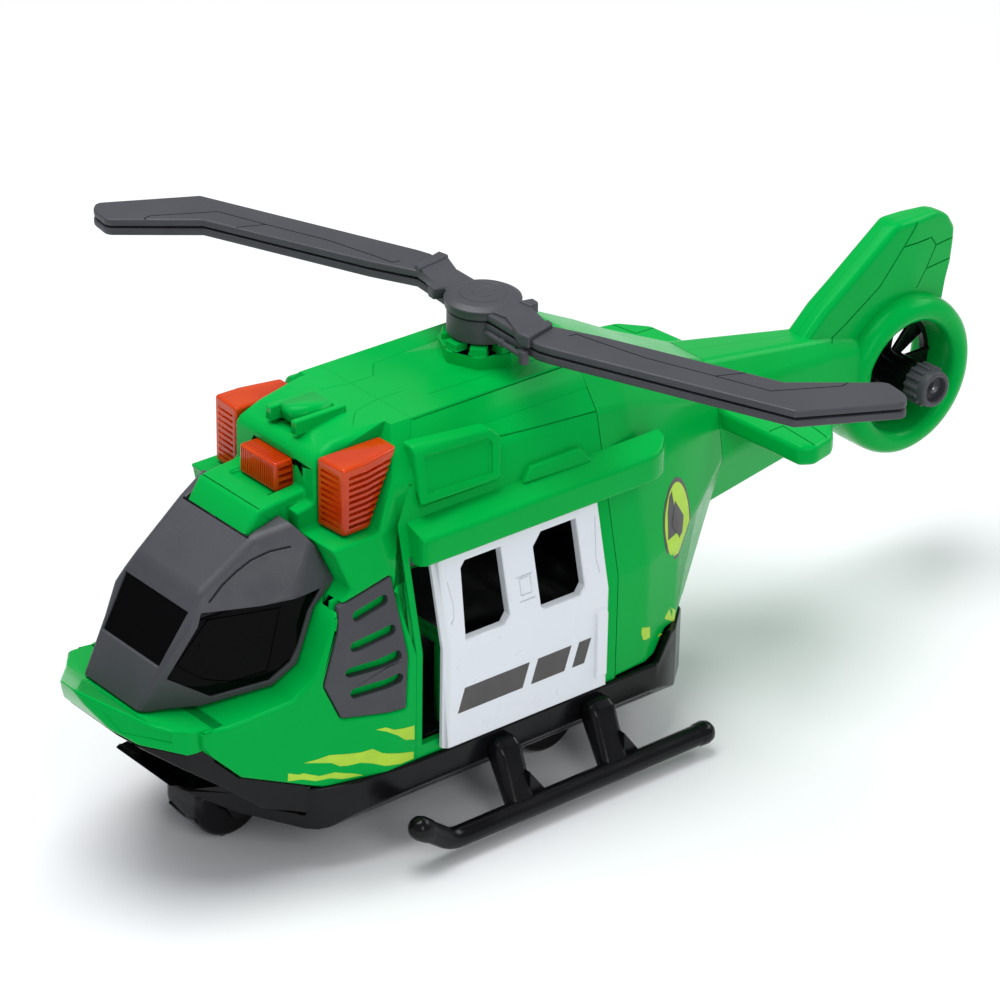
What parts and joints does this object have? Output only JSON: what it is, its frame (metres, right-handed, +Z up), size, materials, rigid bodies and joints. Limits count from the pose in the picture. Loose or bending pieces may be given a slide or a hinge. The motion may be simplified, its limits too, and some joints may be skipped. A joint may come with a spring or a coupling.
{
  "type": "toy helicopter",
  "caption": "Friction-driven toy rescue helicopter with sliding cabin doors, a two-tier spinning rotor, a shrouded tail fan with a thumb knob, skids over wheels and translucent roof lamps.",
  "frame": {"origin": "bottom centre of the bounding box, on the ground under the wheels", "axes": "+Z up, nose towards -Y, tail towards +Y, port side towards +X"},
  "size_m": [0.2156, 0.2999, 0.1251],
  "materials": {
    "green_shell": "glossy moulded green plastic",
    "charcoal_plastic": "satin charcoal plastic with a fine moulded grain",
    "black_plastic": "glossy black plastic",
    "black_panes": "polished opaque black windows",
    "amber_lens": "clear orange-red lens with moulded ribs",
    "led_lens": "clear epoxy",
    "white_door": "cool white satin plastic",
    "gear_plastic": "natural acetal",
    "brass_pinion": "machined",
    "steel": "bright drawn steel",
    "battery_sleeve": "printed sleeve with no lettering",
    "circuit_green": "solder mask"
  },
  "bodies": {
    "airframe": {"chassis": "black_plastic", "motor_housing": "charcoal_plastic", "battery_box": "charcoal_plastic", "battery_cover": "black_plastic", "batteries": "battery_sleeve", "battery_contacts": "steel", "skid_port": "black_plastic", "skid_starboard": "black_plastic", "nose_bumper": "green_shell", "front_shell": "green_shell", "cabin_side_port": "green_shell", "cabin_side_starboard": "green_shell", "cabin_floor": "black_plastic", "grab_bar": "green_shell", "roof_cowl": "green_shell", "rear_shell": "green_shell", "tail_half_port": "green_shell", "tail_half_starboard": "green_shell", "canopy": "charcoal_plastic", "windscreen": "black_panes", "side_window_port": "black_panes", "side_window_starboard": "black_panes", "vent_grille_port": "charcoal_plastic", "vent_grille_starboard": "charcoal_plastic", "lamp_port": "amber_lens", "lamp_starboard": "amber_lens", "lamp_centre": "amber_lens", "lamp_leds": "led_lens", "door_rail_port": "green_shell", "door_rail_starboard": "green_shell", "tail_pin": "steel", "button_spring": "steel", "circuit_board": "circuit_green", "speaker": "charcoal_plastic", "screws": "steel"},
    "rotor": {"rotor_mast": "steel", "upper_rotor": "charcoal_plastic", "hub_cap": "black_plastic"},
    "lower_blades": {"lower_rotor": "charcoal_plastic"},
    "tail_fan_unit": {"tail_fan": "black_plastic", "tail_knob": "black_plastic"},
    "front_wheel_unit": {"front_wheel": "black_plastic", "front_axle": "steel"},
    "rear_wheels_unit": {"rear_axle": "steel", "rear_wheel_port": "black_plastic", "rear_wheel_starboard": "black_plastic", "axle_gear": "gear_plastic"},
    "flywheel_unit": {"flywheel": "steel", "flywheel_shaft": "steel", "pinion": "brass_pinion"},
    "port_door": {"door_port": "white_door"},
    "starboard_door": {"door_starboard": "white_door"},
    "button": {"sound_button": "green_shell"}
  },
  "joints": [
    {"name": "rotor_spin", "type": "hinge", "parent": "airframe", "child": "rotor", "pos_m": [0, -0.0207, 0.118], "axis": [0, 0, 1], "continuous": true},
    {"name": "lower_blade_spread", "type": "hinge", "parent": "rotor", "child": "lower_blades", "pos_m": [0, -0.0207, 0.117], "axis": [0, 0, 1], "range_deg": [0, 90]},
    {"name": "tail_fan_spin", "type": "hinge", "parent": "airframe", "child": "tail_fan_unit", "pos_m": [0, 0.1265, 0.06], "axis": [1, 0, 0], "continuous": true},
    {"name": "front_wheel_spin", "type": "hinge", "parent": "airframe", "child": "front_wheel_unit", "pos_m": [0, -0.106, 0.011], "axis": [1, 0, 0], "continuous": true},
    {"name": "rear_axle_spin", "type": "hinge", "parent": "airframe", "child": "rear_wheels_unit", "pos_m": [0, -0.0165, 0.01], "axis": [1, 0, 0], "continuous": true},
    {"name": "flywheel_spin", "type": "hinge", "parent": "airframe", "child": "flywheel_unit", "pos_m": [0, -0.01946, 0.0185], "axis": [1, 0, 0], "continuous": true},
    {"name": "door_port_slide", "type": "slide", "parent": "airframe", "child": "port_door", "axis": [0, 1, 0], "range_m": [-0.0028, 0.02]},
    {"name": "door_starboard_slide", "type": "slide", "parent": "airframe", "child": "starboard_door", "axis": [0, 1, 0], "range_m": [-0.0028, 0.02]},
    {"name": "sound_button_press", "type": "slide", "parent": "airframe", "child": "button", "axis": [0, 0, -1], "range_m": [0, 0.0015], "stiffness_N_per_m": 500, "springref_m": -0.0015, "deforming": ["button_spring"]}
  ],
  "couplings": [
    {"joint": "flywheel_spin", "follows": "rear_axle_spin", "ratio": -2}
  ]
}
